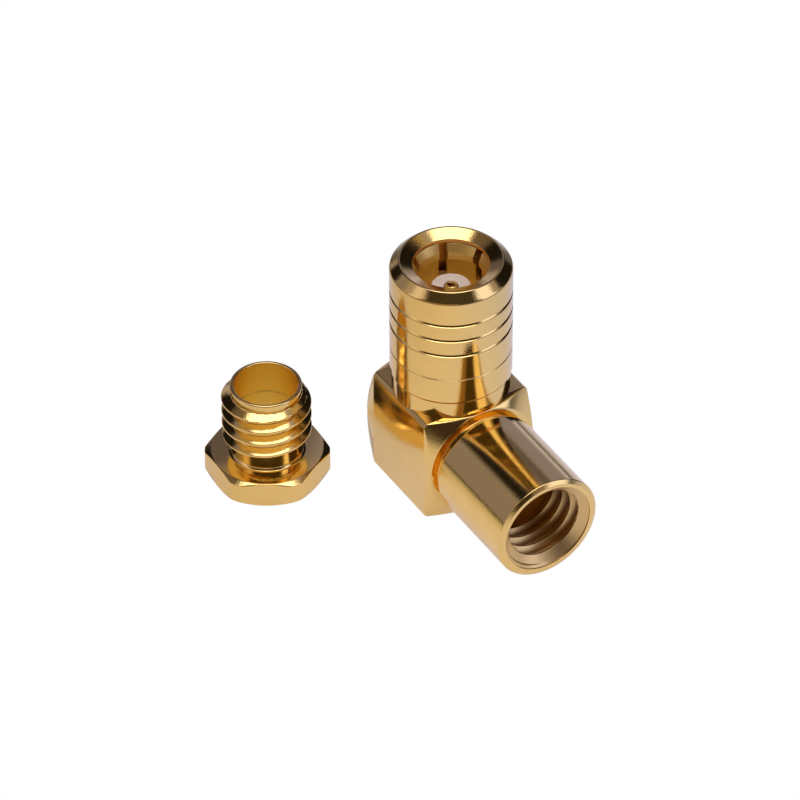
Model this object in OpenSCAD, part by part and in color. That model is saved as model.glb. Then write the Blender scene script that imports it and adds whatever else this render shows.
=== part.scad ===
// Right angle push-on coaxial plug with a threaded cable barrel and a loose clamp nut.
// +Z is the mating axis, +X is the cable axis, and the block rests on z = 0.

/* [Body block] */
// Width across the flats of the square bar
block_w = 6.24; // [6.1:0.02:6.8]
// Distance from the mating axis to the shoulder under the barrel
block_front = 3.11; // [3:0.01:3.6]
// Distance from the mating axis to the back face
block_back = 3.3; // [3.1:0.02:4]
// How far each long corner is turned back along its flats
corner_cut = 0.18; // [0.06:0.02:0.4]
// Angle of the turned chamfers at both ends, from the end faces
end_angle = 30; // [20:1:36]

/* [Boss and register] */
// Diameter of the boss under the sleeve
boss_d = 6.2; // [5.8:0.02:6.2]
// Chamfer at the sleeve's foot
seam_chamfer = 0.05; // [0.02:0.01:0.06]
// Width of the narrow groove left round the boss under the sleeve's foot
seam_groove_w = 0.08; // [0.04:0.01:0.15]
// Depth of that groove
seam_groove_depth = 0.12; // [0.06:0.01:0.16]
// Height of the boss above the block
boss_h = 1.06; // [0.6:0.02:1.6]
// Height of the register that the sleeve is pressed on
register_h = 1.4; // [1:0.05:1.8]
// Wall of the register around the outer contact
register_wall = 0.32; // [0.24:0.01:0.38]
// Depth of the outer contact's socket below the top of the register
socket_depth = 3.1; // [2.6:0.05:3.6]
// Diameter of the solder chamber in the block
chamber_d = 3.2; // [2.4:0.05:3.4]

/* [Cable barrel] */
// Outer diameter of the barrel
barrel_d = 5.92; // [5.8:0.02:6.1]
// Distance from the mating axis to the mouth of the barrel
barrel_reach = 9.52; // [9:0.02:11]
// Diameter of the relief groove at the root
relief_d = 5.34; // [5.1:0.02:5.48]
// Width of the relief groove at the root
relief_w = 0.2; // [0.15:0.01:0.5]
// Diameter of the barrel's rim beside the relief groove
rim_d = 5.6; // [5.5:0.02:5.7]
// Length of the taper from the rim to the full barrel
rim_taper = 0.5; // [0.3:0.02:0.9]
// Radial width of the chamfer round the mouth
mouth_chamfer = 0.225; // [0.1:0.005:0.26]
// Depth of the chamfer round the mouth
mouth_chamfer_depth = 0.12; // [0.05:0.01:0.3]
// Diameter of the shallow step inside the mouth
step_d = 5.06; // [4.9:0.02:5.12]
// Depth of the shallow step inside the mouth
step_depth = 0.09; // [0.03:0.01:0.3]
// Angle of the countersink that leads into the thread, from the mouth's face
countersink_angle = 30; // [20:1:50]
// Distance from the mating axis to the clamping seat at the end of the threaded hole
seat_x = 4.6; // [4.2:0.05:5.2]
// Length of the plain drilled wall in front of the clamping seat
seat_wall_l = 0.8; // [0.4:0.05:0.8]
// Width of the thread relief between that wall and the thread
thread_relief = 0.8; // [0.76:0.02:1]
// Diameter of the passage for the cable's core insulation
core_passage_d = 1.7; // [1.2:0.05:2]

/* [Thread] */
// Major diameter of the clamp nut's thread
thread_d = 4.7; // [4.6:0.01:4.74]
// Distance from one turn to the next
thread_pitch = 0.79; // [0.7:0.01:0.85]
// Angle of the thread's flanks from the plane across its axis
flank_angle = 30; // [27:0.5:30]
// Turn of the nut's thread about its own axis
nut_thread_phase = 147; // [0:1:359]
// Turn of the barrel's thread about the cable axis
barrel_thread_phase = 140; // [0:5:355]

/* [Coupling sleeve] */
// Outer diameter of the sleeve
sleeve_d = 6.35; // [6.25:0.05:6.8]
// Length of the sleeve
sleeve_l = 6.95; // [6.6:0.05:7.6]
// Radial width of the front chamfer
front_chamfer = 0.455; // [0.2:0.005:0.46]
// Height of the front chamfer
front_chamfer_h = 0.45; // [0.2:0.01:0.8]
// How far the edge under the front chamfer is broken, along both of its sides
front_break = 0.1; // [0.02:0.01:0.12]
// Width of the flat lip between the front chamfer and the funnel
lip_w = 0.09; // [0.04:0.01:0.12]
// Depth of the funnel in the mouth
funnel_depth = 0.275; // [0.15:0.005:0.5]
// Smallest opening of the sleeve's mouth
mouth_d = 3.96; // [3.9:0.02:4.3]
// Height of the straight land below the funnel
mouth_land = 0.2; // [0.1:0.01:0.4]
// Number of grip grooves
groove_count = 3; // [1:1:3]
// Distance between the grip grooves
groove_pitch = 0.975; // [0.6:0.005:1]
// Height of the lowest grip groove above the sleeve's foot
groove_first = 3.13; // [2.4:0.01:3.3]
// Width of each grip groove
groove_w = 0.14; // [0.1:0.01:0.4]
// Depth of each grip groove
groove_depth = 0.1; // [0.04:0.01:0.2]
// Height of the fine turned line above the sleeve's foot
line_h = 1.51; // [0.8:0.01:2]
// Width of the fine turned line
line_w = 0.06; // [0.04:0.01:0.12]

/* [Outer contact] */
// Outer diameter of the slotted outer contact
contact_d = 4.56; // [4.5:0.02:4.62]
// Inner diameter of the land that grips the mating part
grip_d = 3.5; // [3.4:0.02:3.66]
// Inner diameter of the spring fingers behind that land
finger_bore_d = 3.9; // [3.86:0.01:4]
// Height of the grip land
grip_land = 0.35; // [0.3:0.01:0.6]
// Height of the lead-in chamfer at the finger tips
tip_chamfer_h = 0.46; // [0.3:0.02:0.6]
// Number of spring fingers
finger_count = 6; // [4:1:6]
// Width of the slots between the fingers
slot_w = 0.45; // [0.2:0.01:0.5]
// Length of the slots
slot_l = 2; // [1.6:0.05:2.5]
// Direction of the first slot about the mating axis
slot_phase = 41.4; // [0:0.2:60]
// Depth of the mating cavity below the finger tips
cavity_depth = 2.8; // [2.6:0.05:3.4]
// Thickness of the web that holds the dielectric
web_t = 0.4; // [0.3:0.02:0.6]
// Height of the collar that seats on the register
collar_h = 0.4; // [0.2:0.02:0.6]

/* [Dielectric] */
// Diameter of the dielectric's nose
nose_d = 2.05; // [1.9:0.01:2.2]
// Length of the nose above the floor of the mating cavity
nose_l = 1.6; // [1.3:0.02:1.9]
// Diameter of the dielectric inside the outer contact
dielectric_d = 3.66; // [3.4:0.02:3.8]

/* [Centre contact] */
// Diameter of the centre contact
pin_d = 0.74; // [0.7:0.01:0.86]
// Diameter of the socket in its tip
pin_bore_d = 0.42; // [0.38:0.01:0.48]
// Depth of the socket in its tip
pin_bore_depth = 1.9; // [1.5:0.05:2.4]
// How far its tip stands out of the dielectric
pin_proud = 0.08; // [0.02:0.01:0.15]
// Radius of its rounded tip
pin_round = 0.12; // [0.06:0.01:0.13]
// Number of slots in its tip
pin_slots = 4; // [2:1:4]
// Width of the slots in its tip
pin_slot_w = 0.1; // [0.06:0.01:0.14]
// Length of the slots in its tip
pin_slot_l = 1.1; // [0.6:0.05:1.4]
// Direction of the first slot in its tip
pin_slot_phase = 45; // [0:1:90]
// Diameter of its solder end
solder_d = 1.2; // [1:0.05:1.4]
// How far the solder end reaches below the cable axis
solder_below = 0.75; // [0.5:0.05:1]
// Width of the notch that takes the cable's core
core_slot_w = 0.6; // [0.4:0.02:0.7]

/* [Access cap] */
// Diameter of the cap pressed into the bottom of the block
cap_d = 3.84; // [3.7:0.02:4.4]
// Thickness of the cap
cap_t = 0.9; // [0.6:0.02:1.2]
// Chamfer round the cap's outer edge
cap_chamfer = 0.1; // [0.04:0.01:0.2]

/* [Clamp nut] */
// Width across the flats of the nut's hexagon
nut_af = 5.92; // [5.5:0.02:6.5]
// How far the hexagon's corners are turned down, on the radius
nut_corner_cut = 0.13; // [0:0.01:0.14]
// Height of the hexagon
nut_head_h = 1.53; // [1.2:0.01:2]
// Angle of the turned chamfer at the hexagon's top, from its face
nut_top_angle = 22; // [12:1:35]
// How far inside the flats the chamfer at the top starts
nut_top_inset = 0.05; // [0:0.01:0.15]
// Angle of the turned chamfer at the hexagon's foot, from its face
nut_foot_angle = 35; // [20:1:45]
// How far inside the flats the chamfer at the foot starts
nut_foot_inset = 0.08; // [0:0.01:0.15]
// Turn of the loose nut about its own axis
nut_turn = -1.8; // [-30:0.1:30]
// Overall length of the nut
nut_l = 5.88; // [5.7:0.02:6.6]
// Diameter of the neck below the thread
nut_neck_d = 3.72; // [3.64:0.01:3.76]
// Height of the neck above the hexagon
nut_neck_h = 0.93; // [0.8:0.01:1.2]
// Radius of the fillet at the foot of the neck
nut_fillet = 0.23; // [0.1:0.01:0.3]
// Outer diameter of the thin lip that presses on the cable's braid
nut_lip_d = 3.76; // [3.7:0.01:3.8]
// Length of the thin lip
nut_lip_l = 0.5; // [0.1:0.02:0.6]
// Height of the bevel between the lip and the thread
nut_bevel_h = 0.22; // [0.16:0.01:0.5]
// Diameter of the cable hole
nut_bore_d = 3.2; // [2.8:0.02:3.26]
// Diameter of the wider hole inside the lip
nut_mouth_d = 3.36; // [3.3:0.01:3.42]
// Depth of the wider hole inside the lip
nut_mouth_depth = 1.9; // [1.2:0.05:2.4]
// Place of the loose nut along the cable axis
nut_x = -5.12; // [-14:0.01:-4.8]
// Place of the loose nut across the cable axis
nut_y = -8.12; // [-14:0.01:-7.8]

/* [Fits] */
// Gap on each side of pieces that are pressed or slid into one another
fit_gap = 0.02; // [0.01:0.005:0.04]
// Gap between the finger tips and the sleeve, so that the fingers can flex
tip_gap = 0.05; // [0.03:0.01:0.1]
// Gap at the end of a piece that has its seat elsewhere
end_gap = 0.1; // [0.05:0.01:0.2]
// Gap between the barrel's thread and the nut's thread
thread_gap = 0.03; // [0.01:0.005:0.05]
// Gap around the nut's thread where the barrel's hole has no thread
relief_gap = 0.09; // [0.08:0.01:0.12]

/* [Hidden] */
$fn = 96;
gold = [0.83, 0.66, 0.36];
deep_gold = [0.74, 0.55, 0.25];
ptfe_white = [0.93, 0.9, 0.88];
// Overrun of a cutter past the face that it opens
cut = 0.2;
// Steps in each turn of a thread
turn_steps = 32;

// Block
axis_z = block_w/2;
corner_r = norm([block_w/2, block_w/2 - corner_cut]);
end_chamfer_l = (corner_r - block_w/2)*tan(end_angle);

// Heights along the mating axis
seam_z = block_w + boss_h;
register_z = seam_z + register_h;
shoulder_z = register_z - socket_depth;
sleeve_top = seam_z + sleeve_l;
mouth_z = sleeve_top - funnel_depth;
tip_z = mouth_z - mouth_land - tip_gap;
floor_z = tip_z - cavity_depth;
dielectric_top = floor_z + nose_l;
pin_top = dielectric_top + pin_proud;

// Diameters that follow from the fits
socket_d = contact_d + 2*fit_gap;
register_d = socket_d + 2*register_wall;
sleeve_bore_d = register_d + 2*fit_gap;
contact_root_bore_d = dielectric_d + 2*fit_gap;
cap_seat_d = cap_d + 2*fit_gap;
lip_outer_d = sleeve_d - 2*front_chamfer;
lip_inner_d = lip_outer_d - 2*lip_w;

// Where the break under the front chamfer starts on the wall and ends on the chamfer
break_share = front_break/norm([front_chamfer, front_chamfer_h]);
break_low_z = sleeve_top - front_chamfer_h - front_break;
break_high_z = sleeve_top - front_chamfer_h*(1 - break_share);
break_high_d = sleeve_d - 2*front_chamfer*break_share;

// Thread: the groove's floor is a quarter of the pitch and the crest is an eighth
root_flat = thread_pitch/4;
crest_flat = thread_pitch/8;
thread_depth = (thread_pitch - root_flat - crest_flat)/2/tan(flank_angle);
barrel_major_d = thread_d + 2*thread_gap;
barrel_minor_d = barrel_major_d - 2*thread_depth;
relief_bore_d = thread_d + 2*relief_gap;
// Where the thread relief of the barrel's hole starts and ends
relief_x = seat_x + seat_wall_l;
relief_end_x = relief_x + thread_relief;
// Where the countersink runs down to the crests of the barrel's thread
thread_x = barrel_reach - step_depth - (step_d - barrel_minor_d)/2*tan(countersink_angle);
// How far the centre of a thread's groove runs on past the thread at its ends
run_out = thread_pitch/2;

// Heights of the nut
nut_neck_z = nut_head_h + nut_neck_h;
nut_lip_z = nut_l - nut_lip_l;
nut_thread_top = nut_lip_z - nut_bevel_h;
nut_thread_z = nut_neck_z + (thread_d - nut_neck_d)/2*tan(flank_angle);

// One ring of a thread groove's section: two points at the root, two past the open side
function groove_ring(root_r, open_r, angle, rise) =
    let (reach = abs(open_r - root_r), half_root = root_flat/2)
    let (half_open = half_root + reach*tan(flank_angle))
    [for (p = [[root_r, -half_root], [root_r, half_root], [open_r, half_open], [open_r, -half_open]])
        [p[0]*cos(angle), p[0]*sin(angle), p[1] + rise]];

// A right-hand helical groove from height z0 to z1, cut by subtracting it
module thread_groove(root_r, open_r, z0, z1, phase) {
    steps = ceil((z1 - z0)/thread_pitch*turn_steps);
    points = [for (i = [0:steps], p = groove_ring(root_r, open_r, phase + i*360/turn_steps,
                                                  z0 + i*thread_pitch/turn_steps)) p];
    // An outside thread opens away from the axis and an inside one towards it
    outward = open_r > root_r;
    side = [for (i = [0:steps - 1], k = [0:3])
        let (a = 4*i + k, b = 4*i + (k + 1)%4)
        outward ? [a, a + 4, b + 4, b] : [a, b, b + 4, a + 4]];
    first = outward ? [0, 1, 2, 3] : [3, 2, 1, 0];
    last = outward ? [3, 2, 1, 0] : [0, 1, 2, 3];
    polyhedron(points, concat(side, [first], [[for (k = last) 4*steps + k]]), convexity = 20);
}

// Places what is drawn along +Z on the cable axis, pointing along +X
module on_cable_axis() {
    translate([0, 0, axis_z]) rotate([0, 90, 0]) children();
}

// The square bar with its corners and both its ends turned
module block() {
    intersection() {
        translate([-block_back, -block_w/2, 0]) cube([block_back + block_front, block_w, block_w]);
        on_cable_axis() rotate_extrude() polygon([
            [0, -block_back],
            [block_w/2, -block_back],
            [corner_r, -block_back + end_chamfer_l],
            [corner_r, block_front - end_chamfer_l],
            [block_w/2, block_front],
            [0, block_front]
        ]);
    }
}

// The boss and the register above the block
module boss() {
    translate([0, 0, axis_z]) cylinder(d = boss_d, h = seam_z - seam_groove_w - axis_z);
    translate([0, 0, axis_z]) cylinder(d = boss_d - 2*seam_groove_depth, h = seam_z - axis_z);
    translate([0, 0, axis_z]) cylinder(d = register_d, h = register_z - axis_z);
}

// The outside of the barrel, with the relief groove and the taper at its root
module barrel() {
    rim_x = block_front + relief_w;
    on_cable_axis() rotate_extrude() polygon([
        [0, 0],
        [relief_d/2, 0],
        [relief_d/2, rim_x],
        [rim_d/2, rim_x],
        [barrel_d/2, rim_x + rim_taper],
        [barrel_d/2, barrel_reach - mouth_chamfer_depth],
        [barrel_d/2 - mouth_chamfer, barrel_reach],
        [0, barrel_reach]
    ]);
}

// The stepped hole along the cable axis, with the thread in it
module cable_hole() {
    on_cable_axis() {
        rotate_extrude() polygon([
            [0, 0],
            [core_passage_d/2, 0],
            [core_passage_d/2, seat_x],
            [barrel_minor_d/2, seat_x],
            [barrel_minor_d/2, relief_x],
            [relief_bore_d/2, relief_x],
            [relief_bore_d/2, relief_end_x],
            [barrel_minor_d/2, relief_end_x],
            [barrel_minor_d/2, thread_x],
            [step_d/2, barrel_reach - step_depth],
            [step_d/2, barrel_reach + cut],
            [0, barrel_reach + cut]
        ]);
        thread_groove(barrel_major_d/2, barrel_minor_d/2 - thread_gap, relief_x + run_out,
                      barrel_reach + run_out, barrel_thread_phase);
    }
}

// The stepped hole along the mating axis: cap seat, solder chamber and contact socket
module mating_hole() {
    rotate_extrude() polygon([
        [0, -cut],
        [cap_seat_d/2, -cut],
        [cap_seat_d/2, cap_t],
        [chamber_d/2, cap_t],
        [chamber_d/2, shoulder_z],
        [socket_d/2, shoulder_z],
        [socket_d/2, register_z + cut],
        [0, register_z + cut]
    ]);
}

module elbow_body() {
    color(gold) difference() {
        union() {
            block();
            boss();
            barrel();
        }
        cable_hole();
        mating_hole();
    }
}

// The section of one grip groove, with its middle at height z
module groove_section(z) {
    translate([sleeve_d/2 - groove_depth, z - groove_w/2]) square([groove_depth + cut, groove_w]);
}

module coupling_sleeve() {
    color(gold) rotate_extrude() difference() {
        polygon([
            [sleeve_bore_d/2, seam_z],
            [sleeve_d/2 - seam_chamfer, seam_z],
            [sleeve_d/2, seam_z + seam_chamfer],
            [sleeve_d/2, break_low_z],
            [break_high_d/2, break_high_z],
            [lip_outer_d/2, sleeve_top],
            [lip_inner_d/2, sleeve_top],
            [mouth_d/2, mouth_z],
            [mouth_d/2, mouth_z - mouth_land],
            [sleeve_bore_d/2, mouth_z - mouth_land]
        ]);
        for (i = [0:groove_count - 1]) groove_section(seam_z + groove_first + i*groove_pitch);
        translate([sleeve_d/2, seam_z + line_h]) circle(d = line_w, $fn = 4);
    }
}

// The profile of the outer contact before it is slotted
module contact_profile() {
    root_z = shoulder_z + end_gap;
    land_z = tip_z - tip_chamfer_h - grip_land;
    land_step = (finger_bore_d - grip_d)/2;
    polygon([
        [contact_root_bore_d/2, root_z],
        [contact_d/2, root_z],
        [contact_d/2, register_z],
        [register_d/2, register_z],
        [register_d/2, register_z + collar_h],
        [contact_d/2, register_z + collar_h],
        [contact_d/2, tip_z],
        [mouth_d/2, tip_z],
        [grip_d/2, tip_z - tip_chamfer_h],
        [grip_d/2, land_z],
        [finger_bore_d/2, land_z - land_step],
        [finger_bore_d/2, floor_z],
        [nose_d/2 + fit_gap, floor_z],
        [nose_d/2 + fit_gap, floor_z - web_t],
        [contact_root_bore_d/2, floor_z - web_t]
    ]);
}

module outer_contact() {
    color(gold) difference() {
        rotate_extrude() contact_profile();
        for (i = [0:finger_count - 1]) rotate(slot_phase + i*360/finger_count)
            translate([0, -slot_w/2, tip_z - slot_l]) cube([contact_d, slot_w, slot_l + cut]);
    }
}

module dielectric() {
    color(ptfe_white) rotate_extrude() polygon([
        [pin_d/2 + fit_gap, shoulder_z],
        [dielectric_d/2, shoulder_z],
        [dielectric_d/2, floor_z - web_t - end_gap],
        [nose_d/2, floor_z - web_t - end_gap],
        [nose_d/2, dielectric_top],
        [pin_d/2 + fit_gap, dielectric_top]
    ]);
}

// The centre contact's section, with the rounded tip and the socket in it
module pin_profile() {
    solder_z = axis_z - solder_below;
    difference() {
        union() {
            translate([0, solder_z]) square([solder_d/2, shoulder_z - solder_z]);
            translate([0, solder_z]) square([pin_d/2, pin_top - pin_round - solder_z]);
            translate([0, pin_top - 2*pin_round]) square([pin_d/2 - pin_round, 2*pin_round]);
            translate([pin_d/2 - pin_round, pin_top - pin_round]) circle(r = pin_round, $fn = 32);
        }
        translate([-cut, pin_top - pin_bore_depth])
            square([pin_bore_d/2 + cut, pin_bore_depth + cut]);
    }
}

module centre_contact() {
    notch_z = axis_z + core_slot_w/2;
    color(deep_gold) difference() {
        rotate_extrude() intersection() {
            pin_profile();
            square([solder_d, pin_top + cut]);
        }
        for (i = [0:pin_slots - 1]) rotate(pin_slot_phase + i*360/pin_slots)
            translate([0, -pin_slot_w/2, pin_top - pin_slot_l]) cube([pin_d, pin_slot_w, pin_slot_l + cut]);
        translate([-solder_d, -core_slot_w/2, 0]) cube([2*solder_d, core_slot_w, notch_z]);
    }
}

module access_cap() {
    color(gold) rotate_extrude() polygon([
        [0, 0],
        [cap_d/2 - cap_chamfer, 0],
        [cap_d/2, cap_chamfer],
        [cap_d/2, cap_t],
        [0, cap_t]
    ]);
}

// The nut's hexagon with turned chamfers at both faces
module nut_head() {
    hexagon_r = nut_af/2/cos(30);
    corner = hexagon_r - nut_corner_cut;
    top_r = nut_af/2 - nut_top_inset;
    top_drop = (corner - top_r)*tan(nut_top_angle);
    foot_r = nut_af/2 - nut_foot_inset;
    foot_rise = (corner - foot_r)*tan(nut_foot_angle);
    intersection() {
        cylinder(r = hexagon_r, h = nut_head_h, $fn = 6);
        rotate_extrude() polygon([
            [0, 0],
            [foot_r, 0],
            [corner, foot_rise],
            [corner, nut_head_h - top_drop],
            [top_r, nut_head_h],
            [0, nut_head_h]
        ]);
    }
}

// The nut's neck, thread blank, bevel and lip in one revolve
module nut_shank() {
    rotate_extrude() difference() {
        polygon([
            [0, nut_head_h/2],
            [nut_neck_d/2 + nut_fillet, nut_head_h/2],
            [nut_neck_d/2 + nut_fillet, nut_head_h],
            [nut_neck_d/2, nut_head_h + nut_fillet],
            [nut_neck_d/2, nut_neck_z],
            [thread_d/2, nut_thread_z],
            [thread_d/2, nut_thread_top],
            [nut_lip_d/2, nut_lip_z],
            [nut_lip_d/2, nut_l],
            [0, nut_l]
        ]);
        translate([nut_neck_d/2 + nut_fillet, nut_head_h + nut_fillet]) circle(r = nut_fillet, $fn = 48);
    }
}

module clamp_nut() {
    color(gold) translate([nut_x, nut_y, 0]) rotate(nut_turn) difference() {
        union() {
            nut_head();
            nut_shank();
        }
        translate([0, 0, -cut]) cylinder(d = nut_bore_d, h = nut_l + 2*cut);
        translate([0, 0, nut_l - nut_mouth_depth]) cylinder(d = nut_mouth_d, h = nut_mouth_depth + cut);
        thread_groove(thread_d/2 - thread_depth, thread_d/2 + thread_gap,
                      nut_neck_z - run_out, nut_lip_z + root_flat/2, nut_thread_phase);
    }
}

elbow_body();
coupling_sleeve();
outer_contact();
dielectric();
centre_contact();
access_cap();
clamp_nut();
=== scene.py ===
"""Right angle push-on coaxial plug, gold plated, with its clamp nut standing beside it.

Sections and places are written in millimetres in the part's own frame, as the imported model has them,
and are turned into metres when a mesh is made.
"""

import math

import bpy
import numpy as np
from mathutils import Matrix, Vector

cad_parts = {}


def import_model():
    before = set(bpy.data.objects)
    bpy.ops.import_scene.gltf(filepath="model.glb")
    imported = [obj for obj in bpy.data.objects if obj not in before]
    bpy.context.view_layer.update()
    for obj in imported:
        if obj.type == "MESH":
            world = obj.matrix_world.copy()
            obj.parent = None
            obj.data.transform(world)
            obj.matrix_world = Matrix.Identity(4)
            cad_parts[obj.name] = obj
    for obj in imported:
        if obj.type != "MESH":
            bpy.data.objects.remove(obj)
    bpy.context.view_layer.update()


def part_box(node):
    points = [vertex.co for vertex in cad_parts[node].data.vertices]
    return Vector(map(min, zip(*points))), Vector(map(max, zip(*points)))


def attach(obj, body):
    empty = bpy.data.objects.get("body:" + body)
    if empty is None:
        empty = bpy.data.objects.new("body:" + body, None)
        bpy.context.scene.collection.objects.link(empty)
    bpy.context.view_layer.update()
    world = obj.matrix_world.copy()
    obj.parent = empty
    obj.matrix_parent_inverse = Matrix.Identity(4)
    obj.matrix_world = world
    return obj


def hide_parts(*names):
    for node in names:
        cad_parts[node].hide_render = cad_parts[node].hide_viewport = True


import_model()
scene = bpy.context.scene
scene.cycles.glossy_bounces = 12
MM = 0.001
TURN = 2*math.pi


# Sizes, in millimetres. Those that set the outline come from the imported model.

def node_box(node):
    """Lowest and highest corner of a node, in millimetres."""
    low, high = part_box(node)
    return np.array(low)/MM, np.array(high)/MM


BODY_LOW, BODY_HIGH = node_box("elbow_body")
SLEEVE_LOW, SLEEVE_HIGH = node_box("coupling_sleeve")
DIELECTRIC_LOW, DIELECTRIC_HIGH = node_box("dielectric")
PIN_LOW, PIN_HIGH = node_box("centre_contact")
NUT_LOW, NUT_HIGH = node_box("clamp_nut")
CONTACT_HIGH = node_box("outer_contact")[1]
CAP_HIGH = node_box("access_cap")[1]

# Block and boss
BLOCK_HALF = BODY_HIGH[1]
BLOCK_BACK = -BODY_LOW[0]
BLOCK_FRONT = 3.11
CORNER_CUT = 0.18
END_ANGLE = math.radians(30)
CORNER_R = math.hypot(BLOCK_HALF, BLOCK_HALF - CORNER_CUT)
CABLE_Z = BLOCK_HALF
BOSS_R = 3.1
SEAM_CHAMFER = 0.05
SEAM_GROOVE_W = 0.08
SEAM_GROOVE_DEPTH = 0.12
SEAM_Z = SLEEVE_LOW[2]
REGISTER_R = 2.62
REGISTER_Z = BODY_HIGH[2]
SOCKET_R = 2.3
SHOULDER_Z = DIELECTRIC_LOW[2]
CHAMBER_R = 1.6

# Cable barrel
BARREL_R = 2.96
BARREL_REACH = BODY_HIGH[0]
RELIEF_R = 2.67
RELIEF_W = 0.42
RELIEF_FILLET = 0.04
RIM_R = 2.92
RIM_TAPER = 0.08
RIM_ROUNDS = (0.025, 0.1)
MOUTH_CHAMFER = (0.225, 0.12)
MOUTH_ROUNDS = (0.06, 0.04)
STEP_R = 2.53
STEP_DEPTH = 0.09
COUNTERSINK = math.radians(30)
SEAT_X = 4.6
PLAIN_WALL_END_X = 5.4
RELIEF_END_X = 6.2
PASSAGE_R = 0.85
PASSAGE_START_X = 0.85

# Thread
PITCH = 0.79
THREAD_R = 2.35
THREAD_GAP = 0.03
RELIEF_GAP = 0.09
ROOT_FLAT = PITCH/4
CREST_FLAT = PITCH/8
FLANK = math.tan(math.radians(30))
THREAD_DEPTH = (PITCH - ROOT_FLAT - CREST_FLAT)/2/FLANK
BARREL_PHASE = 140
NUT_PHASE = 147

# Sleeve
SLEEVE_R = 3.175
SLEEVE_TOP = SLEEVE_HIGH[2]
FRONT_CHAMFER = (0.455, 0.45)
FRONT_ROUND = 0.24
LIP_W = 0.09
LIP_ROUND = 0.09
FUNNEL_DEPTH = 0.275
FUNNEL_ROUND = 0.04
MOUTH_R = 1.98
MOUTH_LAND = 0.2
GROOVE_HEIGHTS = [SEAM_Z + 3.13 + 0.975*i for i in range(3)]
GROOVE_DEPTH = 0.1
GROOVE_TOP = 0.07
GROOVE_FOOT = 0.115
GROOVE_FACET = (0.045, 0.028)
GROOVE_FLOOR_LOW = 0.01
GROOVE_ROUND = 0.015
LINE_Z = SEAM_Z + 1.51
LINE_W = 0.08
LINE_DEPTH = 0.65*LINE_W

# Outer contact, dielectric and centre contact
CONTACT_R = 2.28
COLLAR_R = 2.62
COLLAR_H = 0.4
TIP_Z = CONTACT_HIGH[2]
CAVITY_DEPTH = 2.8
CAVITY_ROUND = 0.05
FLOOR_Z = TIP_Z - CAVITY_DEPTH
WEB_T = 0.4
GRIP_R = 1.75
GRIP_LAND = 0.35
GRIP_ROUND = 0.1
FINGER_BORE_R = 1.95
TIP_CHAMFER_H = 0.46
FINGERS = 6
SLOT_W = 0.45
SLOT_L = 2.0
SLOT_PHASE = 41.4
DIELECTRIC_R = 1.83
NOSE_R = 1.025
NOSE_ROUND = 0.06
FIT_GAP = 0.02
END_GAP = 0.1
PIN_R = 0.37
PIN_BORE_R = 0.21
PIN_BORE_DEPTH = 1.9
PIN_ROUND = 0.12
PIN_SLOTS = 4
PIN_SLOT_W = 0.06
PIN_SLOT_L = 1.1
PIN_SLOT_PHASE = 45
PIN_CLOSING = 0.05
SOLDER_R = 0.6
CORE_SLOT_W = 0.6

# Access cap
CAP_R = CAP_HIGH[0]
CAP_T = CAP_HIGH[2]
CAP_CHAMFER = 0.1

# Clamp nut. HEAD_TOP and HEAD_FOOT are (radius of the end face, angle of its chamfer from that face).
NUT_CENTRE = ((NUT_LOW + NUT_HIGH)/2)[:2]
NUT_AF = 5.92
NUT_TURN = math.radians(-1.8)
NUT_L = NUT_HIGH[2]
HEAD_H = 1.53
HEAD_TOP = (NUT_AF/2 - 0.05, math.radians(22))
HEAD_FOOT = (NUT_AF/2 - 0.08, math.radians(35))
HEAD_CORNER_R = NUT_AF/2/math.cos(TURN/12) - 0.13
NECK_R = 1.86
NECK_Z = HEAD_H + 0.93
NECK_FILLET = 0.23
NUT_LIP_R = 1.88
NUT_LIP_Z = NUT_L - 0.5
NUT_LIP_ROUNDS = (0.08, 0.06)
NUT_BEVEL_Z = NUT_LIP_Z - 0.22
NUT_BORE_R = 1.6
NUT_BORE_CHAMFER = 0.1
NUT_MOUTH_R = 1.68
NUT_MOUTH_DEPTH = 1.9

# Roundings. EDGE is also the rounding of a corner that names no radius.
EDGE = 0.03
FINE = 0.02
CRISP = 0.01
SHARP = 0.005

# How far a cutter runs past what it cuts, how far a turned form sinks into the face that it stands on, and
# how far the threaded wall ends below the step in the barrel's mouth
OVERRUN = 0.2
SINK = 0.004
JOIN = 0.02

# Fineness of the meshes: columns round an axis, rows in a turn of the thread, steps in a rounded corner,
# decimals to which points must agree to become one, and the step over which slopes are measured
ROUND = 320
THREAD_ROWS = 28
CORNER_STEPS = 4
JOIN_DECIMALS = 5
SLOPE_STEP = 1e-4

# The most of a side that a corner's rounding takes, without and with a radius of its own
SIDE_SHARE, OWN_SIDE_SHARE = 0.45, 0.85

# A stored normal shorter than this was lost in a cut
LOST_NORMAL = 0.1


# Sections: corners rounded into arcs, each point with its outward normal

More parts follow.
